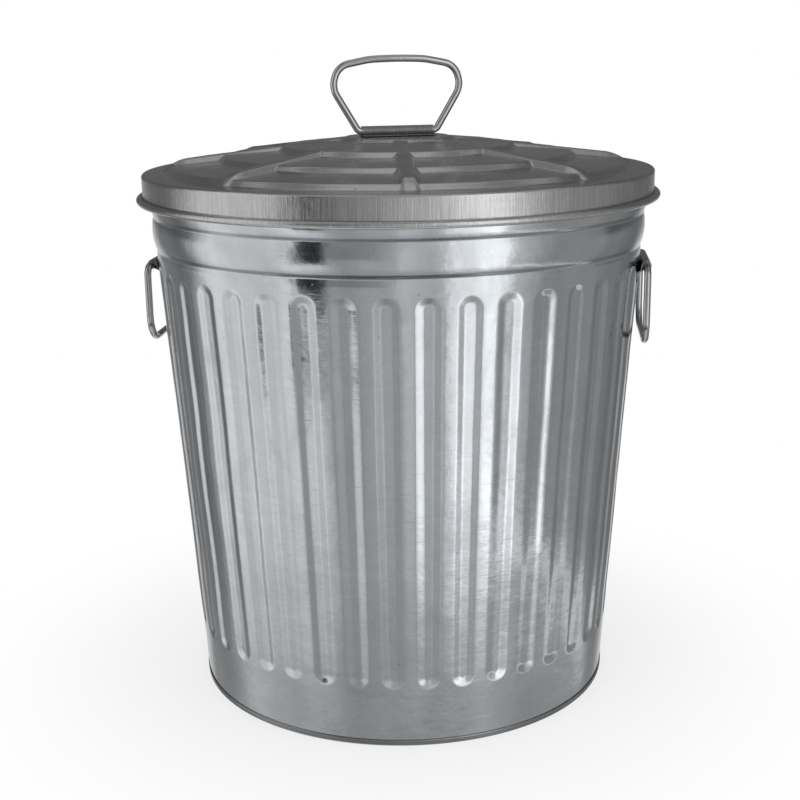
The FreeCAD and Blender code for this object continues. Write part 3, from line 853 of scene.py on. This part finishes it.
def light_tent():
    """Tent round the can that only its reflections see: a sphere with its brightness in an
    attribute, so that the polished sheet has the soft greys of a studio to mirror."""
    azimuth = np.linspace(-180, 180, 361)[None, :-1]
    elevation = np.linspace(-89, 89, 179)[:, None]
    turn = np.radians(azimuth - 90.0) + CAMERA_TURN
    up = np.radians(elevation)
    height = TENT_MIDDLE_Z + TENT_R * np.sin(up)
    tent = capped("light_tent", polar(TENT_R * np.cos(up), turn, height))
    glow = tent_glow(azimuth, elevation).ravel()
    glow = np.concatenate([glow, [glow[0], glow[-1]]])
    level = tent.data.attributes.new("glow", "FLOAT", "POINT")
    level.data.foreach_set("value", glow.astype(np.float32))
    f = Finish("tent_light")
    brightness = f.add("ShaderNodeAttribute", {"attribute_name": "glow"}, {}, "Fac")
    tent.data.materials.append(f.end(f.add("ShaderNodeEmission", {}, {"Strength": brightness})))
    f.material.cycles.emission_sampling = "NONE"
    tent.visible_camera = tent.visible_diffuse = False
    tent.visible_shadow = tent.visible_transmission = False


def studio_floor():
    """Pale floor that keeps the can's shadow and runs out to plain white."""
    angle = np.linspace(0, 2 * math.pi, FLOOR_SIDES, endpoint=False)[None, :]
    points = polar(np.array(FLOOR_RADII)[:, None], angle, 0.0).reshape(-1, 3)
    ring = np.arange(FLOOR_SIDES)
    fan = np.stack([np.full(FLOOR_SIDES, len(points)), ring, np.roll(ring, -1)], -1)
    rings = ring_faces(len(FLOOR_RADII), FLOOR_SIDES)[:, ::-1]
    floor = mesh_piece("studio_floor", np.vstack([points, [[0, 0, 0]]]), [rings, fan])
    f = Finish("pale_floor")
    away = f.add("ShaderNodeVectorMath", {"operation": "LENGTH"}, {0: f.place}, "Value")
    paint = f.add("ShaderNodeBsdfDiffuse", {}, {"Color": (0.92, 0.92, 0.92, 1.0)})
    white = f.add("ShaderNodeEmission", {}, {"Strength": 1.0})
    floor.data.materials.append(f.end(f.add("ShaderNodeMixShader", {}, {
        0: 0.6 + 0.4 * away.above(0.20, 0.42), 1: paint, 2: white})))
    f.material.cycles.emission_sampling = "NONE"
    floor.visible_glossy = False


def soft_lamp(name, place, size, power):
    """Square softbox that looks at the middle of the can; reflections leave it to the tent."""
    lamp = bpy.data.objects.new(name, bpy.data.lights.new(name, "AREA"))
    lamp.data.size = size
    lamp.data.energy = power
    lamp.location = place
    lamp.rotation_euler = (Vector(AIM) - lamp.location).to_track_quat("-Z", "Y").to_euler()
    lamp.visible_glossy = False
    bpy.context.scene.collection.objects.link(lamp)


def white_world():
    """World that lights every surface evenly and is plain white behind them."""
    world = bpy.data.worlds.new("white_world")
    world.use_nodes = True
    background = world.node_tree.nodes["Background"]
    background.inputs["Color"].default_value = (1, 1, 1, 1)
    background.inputs["Strength"].default_value = 1.0
    bpy.context.scene.world = world


def photo_camera():
    """Camera at the photograph's place, turned, tilted down and rolled as it was."""
    camera = bpy.data.objects.new("photo_camera", bpy.data.cameras.new("photo_camera"))
    camera.data.lens = CAMERA_LENS
    camera.data.sensor_width = 36.0
    back = Vector((math.sin(CAMERA_TURN) * math.cos(CAMERA_DOWN),
                   -math.cos(CAMERA_TURN) * math.cos(CAMERA_DOWN), math.sin(CAMERA_DOWN)))
    right = Vector((math.cos(CAMERA_TURN), math.sin(CAMERA_TURN), 0.0))
    facing = Matrix((right, back.cross(right), back)).transposed()
    facing = facing @ Matrix.Rotation(CAMERA_ROLL, 3, "Z")
    camera.matrix_world = Matrix.Translation(CAMERA_PLACE) @ facing.to_4x4()
    bpy.context.scene.collection.objects.link(camera)
    bpy.context.scene.camera = camera


light_tent()
studio_floor()
soft_lamp("key", place=(-1.1, -1.3, 1.9), size=1.2, power=4.0)
soft_lamp("fill", place=(1.4, -0.6, 1.7), size=1.4, power=3.0)
white_world()
photo_camera()
bpy.context.scene.view_settings.view_transform = "Standard"
